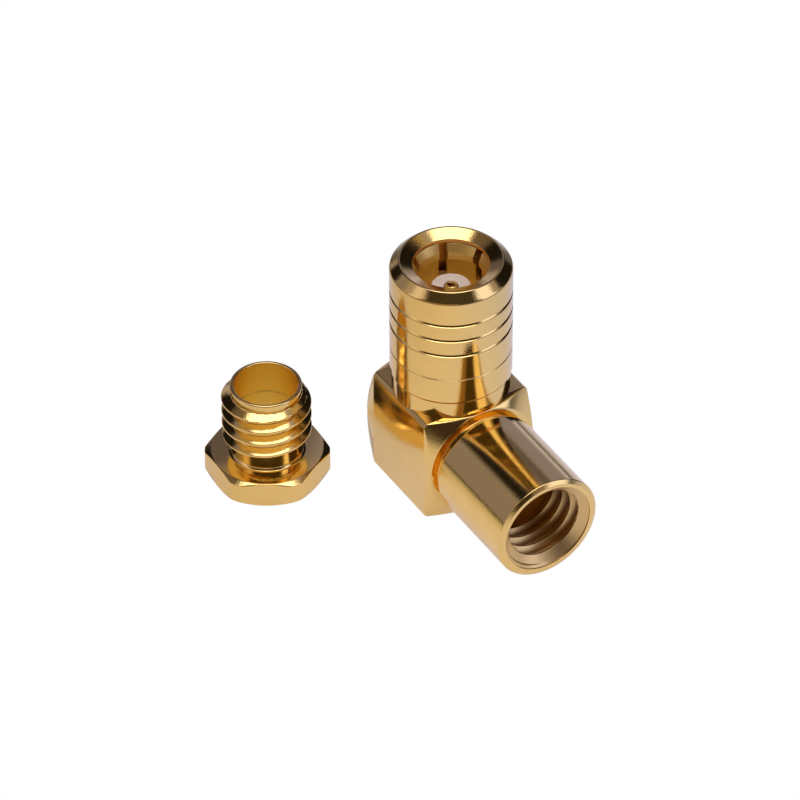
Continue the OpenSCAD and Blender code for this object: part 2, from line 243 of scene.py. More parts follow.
def rounded(corners, closed):
    """Points and outward normals along a section.

    A corner is (across, along) or (across, along, radius), and the material lies on the left of the
    way round. Each corner becomes an arc that touches both of its sides. A corner with a radius of its
    own may take up most of a side.
    """
    spots = [np.array(c[:2], float) for c in corners]
    radii = [c[2] if len(c) > 2 else EDGE for c in corners]
    shares = [OWN_SIDE_SHARE if len(c) > 2 else SIDE_SHARE for c in corners]
    count = len(corners)
    points, normals = [], []

    def direction(a, b):
        step = b - a
        return step/np.linalg.norm(step), np.linalg.norm(step)

    for i in range(count):
        here = spots[i]
        if not closed and i in (0, count - 1):
            way = direction(here, spots[1])[0] if i == 0 else direction(spots[-2], here)[0]
            points.append(here)
            normals.append(np.array([way[1], -way[0]]))
            continue
        way_in, length_in = direction(spots[i - 1], here)
        way_out, length_out = direction(here, spots[(i + 1) % count])
        turn = math.atan2(way_in[0]*way_out[1] - way_in[1]*way_out[0], way_in @ way_out)
        side = math.copysign(1, turn)
        reach = min(radii[i]*math.tan(abs(turn)/2), shares[i]*length_in, shares[i]*length_out)
        radius = reach/math.tan(abs(turn)/2)
        normal_in = np.array([way_in[1], -way_in[0]])
        centre = here - way_in*reach - side*radius*normal_in
        start = math.atan2(normal_in[1], normal_in[0])
        for s in range(CORNER_STEPS + 1):
            angle = start + turn*s/CORNER_STEPS
            normal = np.array([math.cos(angle), math.sin(angle)])
            points.append(centre + side*radius*normal)
            normals.append(normal)
    return np.array(points), np.array(normals)


def smooth_min(a, b, width):
    """The smaller of a and b, with a round change between them."""
    share = np.maximum(width - np.abs(a - b), 0)/width
    return np.minimum(a, b) - share*share*width/4


def smooth_max(a, b, width):
    """The larger of a and b, with a round change between them."""
    return -smooth_min(-a, -b, width)


# Shells: grids of points with exact normals, joined where they meet

class Shell:
    """A surface put together from grids of points. Points at the same place become one."""

    def __init__(self):
        self.points, self.normals, self.quads, self.count = [], [], [], 0

    def add(self, points, normals, quads):
        self.points.append(points.reshape(-1, 3))
        self.normals.append(normals.reshape(-1, 3))
        self.quads.append(np.asarray(quads).reshape(-1, 4) + self.count)
        self.count += len(self.points[-1])

    def grid(self, points, normals, wrap_rows=False):
        """points[row, column]: a column follows the section, and a row goes all the way round."""
        rows, columns = points.shape[:2]
        index = np.arange(rows*columns).reshape(rows, columns)
        if wrap_rows:
            index = np.vstack([index, index[:1]])
        index = np.hstack([index, index[:, :1]])
        quads = np.stack([index[:-1, :-1], index[:-1, 1:], index[1:, 1:], index[1:, :-1]], -1)
        self.add(points, normals, quads)

    def mesh(self, name, place=None):
        """The mesh in metres. Each corner's exact normal goes into the attribute true_normal."""
        points = np.concatenate(self.points)
        normals = np.concatenate(self.normals)
        if place is not None:
            turn = np.array(place.to_3x3())
            points = points @ turn.T + np.array(place.translation)
            normals = normals @ turn.T
        rough_points = np.round(points, JOIN_DECIMALS)
        _, first, joined = np.unique(rough_points, axis=0, return_index=True, return_inverse=True)
        corners = np.concatenate(self.quads)
        faces = joined.reshape(-1)[corners]
        kept = faces != np.roll(faces, 1, axis=1)
        kept &= (kept.sum(1) > 2)[:, None]
        polygons = [face[keep].tolist() for face, keep in zip(faces, kept) if keep.any()]
        mesh = bpy.data.meshes.new(name)
        mesh.from_pydata((points[first]*MM).tolist(), [], polygons)
        mesh.shade_smooth()
        attribute = mesh.attributes.new("true_normal", "FLOAT_VECTOR", "CORNER")
        attribute.data.foreach_set("vector", normals[corners[kept]].astype(np.float32).ravel())
        return mesh


def use_stored_normals(mesh):
    """Sets the custom normals from true_normal.

    A cut turns a cutter's normals round and may lose a corner's normal, which then becomes its face's.
    """
    stored = np.empty(len(mesh.loops)*3, np.float32)
    mesh.attributes["true_normal"].data.foreach_get("vector", stored)
    stored = stored.reshape(-1, 3)
    flat = np.empty(len(mesh.polygons)*3, np.float32)
    mesh.polygons.foreach_get("normal", flat)
    flat = flat.reshape(-1, 3)
    totals = np.empty(len(mesh.polygons), np.int32)
    mesh.polygons.foreach_get("loop_total", totals)
    per_corner = np.repeat(flat, totals, axis=0)
    lost = np.linalg.norm(stored, axis=1) < LOST_NORMAL
    stored[lost] = per_corner[lost]
    stored /= np.linalg.norm(stored, axis=1)[:, None]
    turned_round = (stored*per_corner).sum(1) < 0
    stored[turned_round] *= -1
    mesh.attributes.remove(mesh.attributes["true_normal"])
    mesh.normals_split_custom_set(stored.tolist())
    mesh.update()


def turn_angles(columns=ROUND):
    return np.arange(columns)*TURN/columns


def round_the_axis(across, along, angles):
    """Points or directions round +Z: across and along may differ from column to column."""
    return np.stack([across*np.cos(angles), across*np.sin(angles), along + 0*angles], -1)


def lathe(shell, corners, closed=False, columns=ROUND):
    """Turns a section round +Z. One that isn't closed ends on the axis or on another part of the shell."""
    points, normals = rounded(corners, closed)
    angles = turn_angles(columns)[None]
    shell.grid(
        round_the_axis(points[:, :1], points[:, 1:], angles),
        round_the_axis(normals[:, :1], normals[:, 1:], angles),
        wrap_rows=closed,
    )


def threaded_wall(shell, radius_at, low, high, outward):
    """A wall round +Z from low to high whose rows follow the thread.

    radius_at(angle, height) gives the wall's radius, and outward is 1 for a shaft or -1 for a hole.
    """
    step = PITCH/THREAD_ROWS
    angles = turn_angles()[None]
    first = low - PITCH
    rows = int(math.ceil((high - first)/step)) + 1 + THREAD_ROWS
    heights = first + step*np.arange(rows)[:, None] + PITCH*angles/TURN
    inside = np.clip(heights, low, high)
    turn = angles + 0*inside
    radius = radius_at(turn, inside)
    small = SLOPE_STEP
    by_angle = (radius_at(turn + small, inside) - radius_at(turn - small, inside))/(2*small)
    by_height = (radius_at(turn, inside + small) - radius_at(turn, inside - small))/(2*small)
    normals = np.stack([
        np.cos(turn) + by_angle/radius*np.sin(turn),
        np.sin(turn) - by_angle/radius*np.cos(turn),
        -by_height,
    ], -1)*outward
    normals /= np.linalg.norm(normals, axis=-1)[..., None]
    points = round_the_axis(radius, inside, turn)
    index = np.arange(rows*ROUND).reshape(rows, ROUND)
    column_after = np.hstack([index[:-THREAD_ROWS, 1:], index[THREAD_ROWS:, :1]])
    index = index[:-THREAD_ROWS]
    corners = [index[:-1], column_after[:-1], column_after[1:], index[1:]]
    quads = np.stack(corners if outward > 0 else corners[::-1], -1)
    shell.add(points, normals, quads)


def groove_distance(angle, height, start, phase):
    """How far a height is from the middle of the nearest turn of a right-hand groove.

    The groove's middle is at the height start where the angle is phase degrees.
    """
    middle = start + PITCH*(angle - math.radians(phase))/TURN
    return np.abs((height - middle + PITCH/2) % PITCH - PITCH/2)


def made(name, mesh):
    """A new object of the scene."""
    piece = bpy.data.objects.new(name, mesh)
    scene.collection.objects.link(piece)
    return piece


def combine(piece, *steps):
    """Joins or cuts closed meshes exactly. Each step is (operation, mesh), and the mesh is used up."""
    for operation, mesh in steps:
        other = made("tool", mesh)
        change = piece.modifiers.new("change", "BOOLEAN")
        change.operation, change.solver, change.object = operation, "EXACT", other
        with bpy.context.temp_override(object=piece, active_object=piece):
            bpy.ops.object.modifier_apply(modifier=change.name)
        bpy.data.objects.remove(other)
        bpy.data.meshes.remove(mesh)
    return piece


def slots(name, across, width, along, count=1, phase=0):
    """Boxes for cutting equal slots round +Z, as one mesh.

    across and along are (from, to), and phase is the first slot's angle in degrees.
    """
    shell = Shell()
    low, high = (np.array([across[i], y, along[i]], float) for i, y in ((0, -width/2), (1, width/2)))
    for k in range(count):
        place = np.array(Matrix.Rotation(math.radians(phase) + TURN*k/count, 3, "Z"))
        for axis in range(3):
            second, third = (axis + 1) % 3, (axis + 2) % 3
            for end, way in ((low, -1), (high, 1)):
                corners = []
                for a, b in ((low, low), (high, low), (high, high), (low, high))[::way]:
                    corner = np.empty(3)
                    corner[axis], corner[second], corner[third] = end[axis], a[second], b[third]
                    corners.append(corner)
                normal = np.zeros(3)
                normal[axis] = way
                shell.add(np.array(corners) @ place.T, np.tile(normal @ place.T, (4, 1)), [0, 1, 2, 3])
    return shell.mesh(name)


# Turned bars: a bar with flats, whose corners and ends are turned, as one rounded form

# Rows across an end face, and rows from a flat's middle to its corner and how they crowd towards it;
# columns along a turned corner; and the most that three fine columns take of a flat and of a corner
FACE_ROWS = 6
CHAMFER_ROWS, CHAMFER_CROWDING = 41, 0.8
CORNER_COLUMNS = 17
FLAT_MARGIN, CORNER_MARGIN = 0.3, 0.2


def settle(points, depth_at, rounds=4):
    """Moves points onto the surface where depth_at is zero. Returns them with their normals."""
    small = SLOPE_STEP
    for _ in range(rounds):
        slope = np.stack([
            (depth_at(points + small*axis) - depth_at(points - small*axis))/(2*small)
            for axis in np.eye(3)
        ], -1)
        size = (slope*slope).sum(-1)[..., None]
        points = points - depth_at(points)[..., None]*slope/size
    return points, slope/np.sqrt(size)


def turned_bar(flats, half, corner_r, low, high, foot, top, first_flat=0):
    """A shell round +Z from low to high.

    half is half the width across flats, corner_r the turned corners' radius, foot and top are (radius of
    the end face, angle of its chamfer from that face), and first_flat is the angle of a flat's middle.
    """
    sector = TURN/flats
    centres = [first_flat + sector*k for k in range(flats)]

    def depth_at(points):
        x, y, z = points[..., 0], points[..., 1], points[..., 2]
        across = np.hypot(x, y)
        depth = across - corner_r
        sides = [x*math.cos(c) + y*math.sin(c) - half for c in centres]
        chamfers = [
            (across - face)*math.sin(angle) + past*math.cos(angle)
            for (face, angle), past in ((foot, low - z), (top, z - high))
        ]
        for other in (*sides, *chamfers, z - high, low - z):
            depth = smooth_max(depth, other, EDGE)
        return depth

    near = [EDGE/4, EDGE/2, EDGE]
    flat_end = math.sqrt(corner_r*corner_r - half*half)
    circles = np.hypot(half, np.linspace(0, 1, CHAMFER_ROWS)**CHAMFER_CROWDING*flat_end)

    def end_rows(face, angle):
        """Rows as (distance from the end, radius), from the middle of the end face outwards."""
        slant = math.tan(angle)
        inner = np.linspace(face, half, FACE_ROWS)[:-1] if face < half else []
        rows = [(0.0, 0.0)] + [(0.0, face - n) for n in near[::-1]]
        rows += [((r - face)*slant, r) for r in (*inner, *circles)]
        return rows + [((corner_r - face)*slant + n, corner_r) for n in near]

    def row_angles(radius):
        """Angles of a row's columns from a flat's middle, and the angle where its flat ends."""
        half_flat = math.sqrt(max(radius*radius - half*half, 0))
        flat_angle = math.atan2(half_flat, half)
        arc = sector - 2*flat_angle
        margins = [min(n, half_flat*FLAT_MARGIN) for n in near]
        marks = [-half_flat] + [-half_flat + m for m in margins] + [0.0]
        marks += [half_flat - m for m in margins[::-1]]
        steps = [min(n/corner_r, arc*CORNER_MARGIN) for n in near]
        angles = [math.atan2(m, half) for m in marks]
        angles += [flat_angle] + [flat_angle + a for a in steps[:-1]]
        angles += list(flat_angle + np.linspace(steps[-1], arc - steps[-1], CORNER_COLUMNS))
        angles += [flat_angle + arc - a for a in steps[-2::-1]]
        return angles, flat_angle

    rows = [(low + d, r) for d, r in end_rows(*foot)]
    rows += [(high - d, r) for d, r in end_rows(*top)[::-1]]
    places = []
    for z, radius in rows:
        angles, flat_angle = row_angles(radius)
        row = []
        for centre in centres:
            for a in angles:
                r = min(radius, half/math.cos(a)) if a <= flat_angle else radius
                row.append((r*math.cos(centre + a), r*math.sin(centre + a), z))
        places.append(row)
    points, normals = settle(np.array(places), depth_at)
    for end, z, way in ((0, low, -1), (-1, high, 1)):
        points[end], normals[end] = (0, 0, z), (0, 0, way)
    shell = Shell()
    shell.grid(points, normals)
    return shell


# Elbow body

ALONG_X = Matrix.Translation((0, 0, CABLE_Z)) @ Matrix.Rotation(TURN/4, 4, "Y")
BARREL_ROOT_X = BLOCK_FRONT - 1
BARREL_ROOT_R = RELIEF_R + 2*RELIEF_FILLET
CREST_R = THREAD_R + THREAD_GAP - THREAD_DEPTH


def barrel_hole_radius(angle, x):
    """Wall of the barrel's hole: the drilled hole, the countersink and the thread's groove."""
    cone = STEP_R - (BARREL_REACH - STEP_DEPTH - x)/math.tan(COUNTERSINK)
    drilled = smooth_max(np.full_like(x, CREST_R), cone, EDGE)
    off = groove_distance(angle, x, PLAIN_WALL_END_X + PITCH/2, BARREL_PHASE)
    floor_r = THREAD_R + THREAD_GAP
    groove = smooth_min(floor_r + 0*x, floor_r - (off - ROOT_FLAT/2)/FLANK, EDGE)
    return smooth_max(drilled, groove, EDGE)


def barrel_mesh():
    shell = Shell()
    foot_x, rim_x = BLOCK_FRONT - SINK, BLOCK_FRONT + RELIEF_W
    step_x = BARREL_REACH - STEP_DEPTH
    wall_top = step_x - JOIN
    chamfer_across, chamfer_along = MOUTH_CHAMFER
    lathe(shell, [
        (0, BARREL_ROOT_X), (BARREL_ROOT_R, BARREL_ROOT_X), (BARREL_ROOT_R, foot_x, SINK),
        (RELIEF_R, foot_x, RELIEF_FILLET), (RELIEF_R, rim_x, FINE),
        (RIM_R, rim_x, RIM_ROUNDS[0]), (BARREL_R, rim_x + RIM_TAPER, RIM_ROUNDS[1]),
        (BARREL_R, BARREL_REACH - chamfer_along, MOUTH_ROUNDS[0]),
        (BARREL_R - chamfer_across, BARREL_REACH, MOUTH_ROUNDS[1]), (STEP_R, BARREL_REACH, FINE),
        (STEP_R, step_x, CRISP), (STEP_R - JOIN/math.tan(COUNTERSINK), wall_top),
    ])
    threaded_wall(shell, barrel_hole_radius, RELIEF_END_X, wall_top, -1)
    angles = turn_angles()
    relief_r = THREAD_R + RELIEF_GAP
    ring = np.stack([
        round_the_axis(barrel_hole_radius(angles, RELIEF_END_X + 0*angles), RELIEF_END_X, angles),
        round_the_axis(relief_r, RELIEF_END_X, angles),
    ])
    shell.grid(ring, ring*0 - np.array([0, 0, 1]))
    lathe(shell, [
        (relief_r, RELIEF_END_X), (relief_r, PLAIN_WALL_END_X), (CREST_R, PLAIN_WALL_END_X),
        (CREST_R, SEAT_X), (0, SEAT_X),
    ])
    return shell.mesh("barrel", ALONG_X)


def elbow_body():
    end = (BLOCK_HALF, END_ANGLE)
    block = turned_bar(4, BLOCK_HALF, CORNER_R, -BLOCK_BACK, BLOCK_FRONT, end, end)
    boss, hole, passage = Shell(), Shell(), Shell()
    groove_z, neck_r = SEAM_Z - SEAM_GROOVE_W, BOSS_R - SEAM_GROOVE_DEPTH
    lathe(boss, [
        (0, CABLE_Z), (BOSS_R, CABLE_Z), (BOSS_R, groove_z, FINE), (neck_r, groove_z, CRISP),
        (neck_r, SEAM_Z, SHARP), (REGISTER_R, SEAM_Z), (REGISTER_R, REGISTER_Z), (0, REGISTER_Z),
    ])
    seat_r, hole_top, passage_end = CAP_R + FIT_GAP, REGISTER_Z + OVERRUN, SEAT_X + OVERRUN
    lathe(hole, [
        (0, -OVERRUN), (seat_r, -OVERRUN), (seat_r, CAP_T), (CHAMBER_R, CAP_T),
        (CHAMBER_R, SHOULDER_Z), (SOCKET_R, SHOULDER_Z), (SOCKET_R, hole_top), (0, hole_top),
    ])
    lathe(passage, [
        (0, PASSAGE_START_X), (PASSAGE_R, PASSAGE_START_X), (PASSAGE_R, passage_end), (0, passage_end),
    ])
    return combine(
        made("elbow_body_gold", block.mesh("elbow_body_gold", ALONG_X)),
        ("UNION", boss.mesh("boss")), ("UNION", barrel_mesh()),
        ("DIFFERENCE", hole.mesh("hole")), ("DIFFERENCE", passage.mesh("passage", ALONG_X)),
    )


# Sleeve, contacts, dielectric and cap

def coupling_sleeve():
    shell = Shell()
    bore = REGISTER_R + FIT_GAP
    chamfer_across, chamfer_along = FRONT_CHAMFER
    lip_outer = SLEEVE_R - chamfer_across
    mouth_z = SLEEVE_TOP - FUNNEL_DEPTH
    floor_r = SLEEVE_R - GROOVE_DEPTH
    facet_across, facet_along = GROOVE_FACET
    wall = [
        (SLEEVE_R, LINE_Z - LINE_W/2), (SLEEVE_R - LINE_DEPTH, LINE_Z), (SLEEVE_R, LINE_Z + LINE_W/2),
    ]
    for z in GROOVE_HEIGHTS:
        wall += [
            (SLEEVE_R, z - GROOVE_FOOT, GROOVE_ROUND),
            (SLEEVE_R - facet_across, z - GROOVE_FOOT + facet_along, FINE),
            (floor_r, z - GROOVE_FLOOR_LOW, FINE), (floor_r, z + GROOVE_TOP, CRISP),
            (SLEEVE_R, z + GROOVE_TOP, FINE),
        ]
    lathe(shell, [
        (bore, SEAM_Z), (SLEEVE_R - SEAM_CHAMFER, SEAM_Z, CRISP), (SLEEVE_R, SEAM_Z + SEAM_CHAMFER, EDGE),
        *wall, (SLEEVE_R, SLEEVE_TOP - chamfer_along, FRONT_ROUND),
        (lip_outer, SLEEVE_TOP, LIP_ROUND), (lip_outer - LIP_W, SLEEVE_TOP, LIP_ROUND),
        (MOUTH_R, mouth_z, FUNNEL_ROUND), (MOUTH_R, mouth_z - MOUTH_LAND), (bore, mouth_z - MOUTH_LAND),
    ], closed=True, columns=2*ROUND)
    return made("coupling_sleeve_gold", shell.mesh("coupling_sleeve_gold"))


def outer_contact():
    shell = Shell()
    root_z = SHOULDER_Z + END_GAP
    land_z = TIP_Z - TIP_CHAMFER_H - GRIP_LAND
    web_z, collar_z = FLOOR_Z - WEB_T, REGISTER_Z + COLLAR_H
    bore, nose_bore = DIELECTRIC_R + FIT_GAP, NOSE_R + FIT_GAP
    lathe(shell, [
        (bore, root_z), (CONTACT_R, root_z), (CONTACT_R, REGISTER_Z), (COLLAR_R, REGISTER_Z),
        (COLLAR_R, collar_z), (CONTACT_R, collar_z), (CONTACT_R, TIP_Z), (MOUTH_R, TIP_Z),
        (GRIP_R, TIP_Z - TIP_CHAMFER_H, GRIP_ROUND), (GRIP_R, land_z),
        (FINGER_BORE_R, land_z - (FINGER_BORE_R - GRIP_R)), (FINGER_BORE_R, FLOOR_Z, CAVITY_ROUND),
        (nose_bore, FLOOR_Z), (nose_bore, web_z), (bore, web_z),
    ], closed=True)
    along = (TIP_Z - SLOT_L, TIP_Z + OVERRUN)
    cuts = slots("slots", (PIN_R, 2*CONTACT_R), SLOT_W, along, FINGERS, SLOT_PHASE)
    return combine(made("outer_contact_gold", shell.mesh("outer_contact_gold")), ("DIFFERENCE", cuts))


def dielectric():
    shell = Shell()
    hole, step_z = PIN_R + FIT_GAP, FLOOR_Z - WEB_T - END_GAP
    lathe(shell, [
        (hole, SHOULDER_Z), (DIELECTRIC_R, SHOULDER_Z), (DIELECTRIC_R, step_z), (NOSE_R, step_z),
        (NOSE_R, DIELECTRIC_HIGH[2], NOSE_ROUND), (hole, DIELECTRIC_HIGH[2], FINE),
    ], closed=True)
    return made("dielectric_ptfe", shell.mesh("dielectric_ptfe"))


def centre_contact():
    shell = Shell()
    low, top = PIN_LOW[2], PIN_HIGH[2]
    slot_z, bore_z = top - PIN_SLOT_L, top - PIN_BORE_DEPTH
    lathe(shell, [
        (0, low), (SOLDER_R, low), (SOLDER_R, SHOULDER_Z), (PIN_R, SHOULDER_Z), (PIN_R, slot_z),
        (PIN_R - PIN_CLOSING, top, PIN_ROUND), (PIN_BORE_R - PIN_CLOSING, top, EDGE),
        (PIN_BORE_R, slot_z), (PIN_BORE_R, bore_z), (0, bore_z),
    ], columns=ROUND//4)
    cuts = slots(
        "pin_slots", (PIN_BORE_R/2, 2*PIN_R), PIN_SLOT_W, (slot_z, top + OVERRUN), PIN_SLOTS, PIN_SLOT_PHASE)
    notch_along = (low - OVERRUN, CABLE_Z + CORE_SLOT_W/2)
    notch = slots("notch", (-2*SOLDER_R, 2*SOLDER_R), CORE_SLOT_W, notch_along)
    piece = made("centre_contact_gold", shell.mesh("centre_contact_gold"))
    return combine(piece, ("DIFFERENCE", cuts), ("DIFFERENCE", notch))


def access_cap():
    shell = Shell()
    lathe(shell, [(0, 0), (CAP_R - CAP_CHAMFER, 0), (CAP_R, CAP_CHAMFER), (CAP_R, CAP_T), (0, CAP_T)])
    return made("access_cap_gold", shell.mesh("access_cap_gold"))


# Clamp nut

NUT_ROOT_Z = HEAD_H/2
NUT_ROOT_R = NECK_R + 1.3*NECK_FILLET
NUT_WALL_Z = (NECK_Z - NECK_FILLET, NUT_LIP_Z + 0.2)


def nut_radius(angle, z):
    """Outside of the nut's shank: neck, bevels, thread and lip."""
    up = NECK_R + (z - NECK_Z)/FLANK
    down = NUT_LIP_R + (NUT_LIP_Z - z)*(THREAD_R - NUT_LIP_R)/(NUT_LIP_Z - NUT_BEVEL_Z)
    blank = smooth_max(NECK_R + 0*z, smooth_min(up, THREAD_R + 0*z, EDGE), EDGE)
    blank = smooth_min(blank, smooth_max(down, NUT_LIP_R + 0*z, EDGE), EDGE)
    off = groove_distance(angle, z, NECK_Z - PITCH/2, NUT_PHASE)
    floor_r = THREAD_R - THREAD_DEPTH
    groove = smooth_max(floor_r + 0*z, floor_r + (off - ROOT_FLAT/2)/FLANK, EDGE)
    return smooth_min(blank, groove, EDGE)


def clamp_nut():
    head = turned_bar(6, NUT_AF/2, HEAD_CORNER_R, 0, HEAD_H, HEAD_FOOT, HEAD_TOP, TURN/12)
    shank, bore = Shell(), Shell()
    foot_z, mouth_z = HEAD_H - SINK, NUT_L - NUT_MOUTH_DEPTH
    low, high = NUT_WALL_Z
    lathe(shank, [
        (0, NUT_ROOT_Z), (NUT_ROOT_R, NUT_ROOT_Z), (NUT_ROOT_R, foot_z, SHARP),
        (NECK_R, foot_z, NECK_FILLET), (NECK_R, low),
    ])
    threaded_wall(shank, nut_radius, low, high, 1)
    lathe(shank, [
        (NUT_LIP_R, high), (NUT_LIP_R, NUT_L, NUT_LIP_ROUNDS[0]), (NUT_MOUTH_R, NUT_L, NUT_LIP_ROUNDS[1]),
        (NUT_MOUTH_R, mouth_z, CRISP), (0, mouth_z),
    ])
    lathe(bore, [
        (0, -OVERRUN), (NUT_BORE_R + OVERRUN + NUT_BORE_CHAMFER, -OVERRUN),
        (NUT_BORE_R, NUT_BORE_CHAMFER), (NUT_BORE_R, mouth_z + OVERRUN), (0, mouth_z + OVERRUN),
    ])
    place = Matrix.Translation((*NUT_CENTRE, 0)) @ Matrix.Rotation(NUT_TURN, 4, "Z")
    return combine(
        made("clamp_nut_gold", head.mesh("clamp_nut_gold", place)),
        ("UNION", shank.mesh("shank", place)), ("DIFFERENCE", bore.mesh("bore", place)),
    )


# Node helpers

def feed(tree, slot, value):
    """Links a node's output to a socket, or sets the socket to a number or vector."""
    if isinstance(value, bpy.types.NodeSocket):
        tree.links.new(value, slot)
    else:
        slot.default_value = value


def math_node(tree, operation, *inputs):
    node = tree.nodes.new("ShaderNodeMath")
    node.operation = operation
    for slot, value in zip(node.inputs, inputs):
        feed(tree, slot, value)
    return node.outputs[0]


def measured(tree, operation, vector, other):
    """A number from two vectors, such as their distance."""
    node = tree.nodes.new("ShaderNodeVectorMath")
    node.operation = operation
    feed(tree, node.inputs[0], vector)
    feed(tree, node.inputs[1], other)
    return node.outputs["Value"]


def scaled(tree, vector, factor):
    node = tree.nodes.new("ShaderNodeVectorMath")
    node.operation = "SCALE"
    feed(tree, node.inputs[0], vector)
    feed(tree, node.inputs["Scale"], factor)
    return node.outputs["Vector"]


def split(tree, vector):
    """The outputs X, Y and Z of a vector."""
    node = tree.nodes.new("ShaderNodeSeparateXYZ")
    feed(tree, node.inputs[0], vector)
    return node.outputs


def coordinates(tree, kind):
    return tree.nodes.new("ShaderNodeTexCoord").outputs[kind]


def spread(tree, value, start, end, low=0.0, high=1.0, way="LINEAR"):
    """Maps start..end to low..high, and keeps what is outside within low and high."""
    node = tree.nodes.new("ShaderNodeMapRange")
    node.interpolation_type = way
    for slot, item in zip(node.inputs, (value, start, end, low, high)):
        feed(tree, slot, item)
    return node.outputs[0]


def fade(tree, value, start, end):
    """Goes smoothly from 0 at start to 1 at end. end may be the smaller one."""
    if end > start:
        return spread(tree, value, start, end, 0.0, 1.0, "SMOOTHSTEP")
    return spread(tree, value, end, start, 1.0, 0.0, "SMOOTHSTEP")


def mix_colour(tree, factor, first, second):
    node = tree.nodes.new("ShaderNodeMix")
    node.data_type = "RGBA"
    for slot, value in ((node.inputs[0], factor), (node.inputs[6], first), (node.inputs[7], second)):
        feed(tree, slot, (*value, 1) if isinstance(value, tuple) else value)
    return node.outputs[2]


# Materials. Noise scales are numbers a metre, and depths are in metres.

# Plating: its grain and its blotches with the shade of the darkest, and the tool marks, fine along the
# axis that a piece is turned about and long across it, with the range of their effect on roughness
GRAIN, GRAIN_DEPTH = 11000, 3e-6
BLOTCHES, BLOTCH_RANGE, BLOTCH_SHADE = 900, (0.35, 0.65), 0.97
MARKS_FINE, MARKS_LONG, MARK_DEPTH = 14000, 500, 4e-7
MARK_DETAIL, MARK_RANGE = 3, (0.3, 0.7)
MARK_ROUGHNESS = (0.85, 1.3)

# White plastic: its turning marks and their depth, the two tones of the marks, and their roughness
PTFE_MARKS, PTFE_DEPTH = (2500, 2500, 9000), 3e-6
# Both tones are tinted warm: painted warm light from the gold round it, on plastic that is white
PTFE_DARK, PTFE_LIGHT = (0.92, 0.79, 0.58), (0.96, 0.85, 0.65)
PTFE_ROUGHNESS = (0.35, 0.5)


def material(name):
    """A new material, its node tree and its Principled shader."""
    new = bpy.data.materials.new(name)
    new.use_nodes = True
    return new, new.node_tree, new.node_tree.nodes["Principled BSDF"]


def noise(tree, scale, detail=2.0):
    """A noise texture in the part's own frame. scale has a number for each axis."""
    size = tree.nodes.new("ShaderNodeMapping")
    size.inputs["Scale"].default_value = scale
    texture = tree.nodes.new("ShaderNodeTexNoise")
    texture.inputs["Scale"].default_value = 1
    texture.inputs["Detail"].default_value = detail
    tree.links.new(coordinates(tree, "Object"), size.inputs["Vector"])
    tree.links.new(size.outputs["Vector"], texture.inputs["Vector"])
    return texture.outputs["Fac"]


def bumps(tree, height, depth, before=None):
    """Normals for a relief of the given depth, laid over the relief before it."""
    bump = tree.nodes.new("ShaderNodeBump")
    bump.inputs["Strength"].default_value = 1
    bump.inputs["Distance"].default_value = depth
    tree.links.new(height, bump.inputs["Height"])
    if before is not None:
        tree.links.new(before, bump.inputs["Normal"])
    return bump.outputs["Normal"]


def inside_bore(tree, axis, centre, radius, ends):
    """1 within radius of an axis and between ends along it, and 0 elsewhere. Lengths in millimetres."""
    place = split(tree, coordinates(tree, "Object"))
    across = {"X": "YZ", "Z": "XY"}[axis]
    sides = [math_node(tree, "SUBTRACT", place[a], c*MM) for a, c in zip(across, centre)]
    squares = [math_node(tree, "MULTIPLY", side, side) for side in sides]
    away = math_node(tree, "SQRT", math_node(tree, "ADD", *squares))
    inside = math_node(tree, "LESS_THAN", away, radius*MM)
    for test, end in zip(("GREATER_THAN", "LESS_THAN"), ends):
        inside = math_node(tree, "MULTIPLY", inside, math_node(tree, test, place[axis], end*MM))
    return inside


def gold(name, colour, roughness, turned_about, bore=None):
    """Plated metal with a fine grain and turning marks round an axis.

    bore is (centre across the axis, radius, (start, end) along it, colour, roughness) of a hole along
    that axis, whose plating is rougher than the outside and whose own colour paints the shade and light in
    the hole.
    """
    new, tree, shader = material(name)
    mark_scale = {"X": (MARKS_FINE, MARKS_LONG, MARKS_LONG), "Z": (MARKS_LONG, MARKS_LONG, MARKS_FINE)}
    marks = noise(tree, mark_scale[turned_about], MARK_DETAIL)
    grain = noise(tree, (GRAIN, GRAIN, GRAIN))
    blotches = spread(tree, noise(tree, (BLOTCHES, BLOTCHES, BLOTCHES)), *BLOTCH_RANGE)
    tone = mix_colour(tree, blotches, tuple(BLOTCH_SHADE*c for c in colour), colour)
    rough = math_node(tree, "MULTIPLY", roughness, spread(tree, marks, *MARK_RANGE, *MARK_ROUGHNESS))
    relief = bumps(tree, marks, MARK_DEPTH)
    relief = bumps(tree, grain, GRAIN_DEPTH, relief)
    # Inside the bore: rougher plating, and the bore's colour as painted shade and light in the hole
    if bore:
        *where, bore_colour, bore_roughness = bore
        inside = inside_bore(tree, turned_about, *where)
        tone = mix_colour(tree, inside, tone, bore_colour)
        rougher = math_node(tree, "MULTIPLY", inside, bore_roughness - roughness)
        rough = math_node(tree, "ADD", rough, rougher)
    tree.links.new(tone, shader.inputs["Base Color"])
    tree.links.new(rough, shader.inputs["Roughness"])
    tree.links.new(relief, shader.inputs["Normal"])
    shader.inputs["Metallic"].default_value = 1
    return new


def ptfe(name):
    """Turned white plastic with a satin face, its colour tinted warm as painted light."""
    new, tree, shader = material(name)
    marks = noise(tree, PTFE_MARKS, MARK_DETAIL)
    tone = mix_colour(tree, spread(tree, marks, *MARK_RANGE), PTFE_DARK, PTFE_LIGHT)
    tree.links.new(tone, shader.inputs["Base Color"])
    tree.links.new(spread(tree, marks, *MARK_RANGE, *PTFE_ROUGHNESS), shader.inputs["Roughness"])
    tree.links.new(bumps(tree, marks, PTFE_DEPTH), shader.inputs["Normal"])
    return new


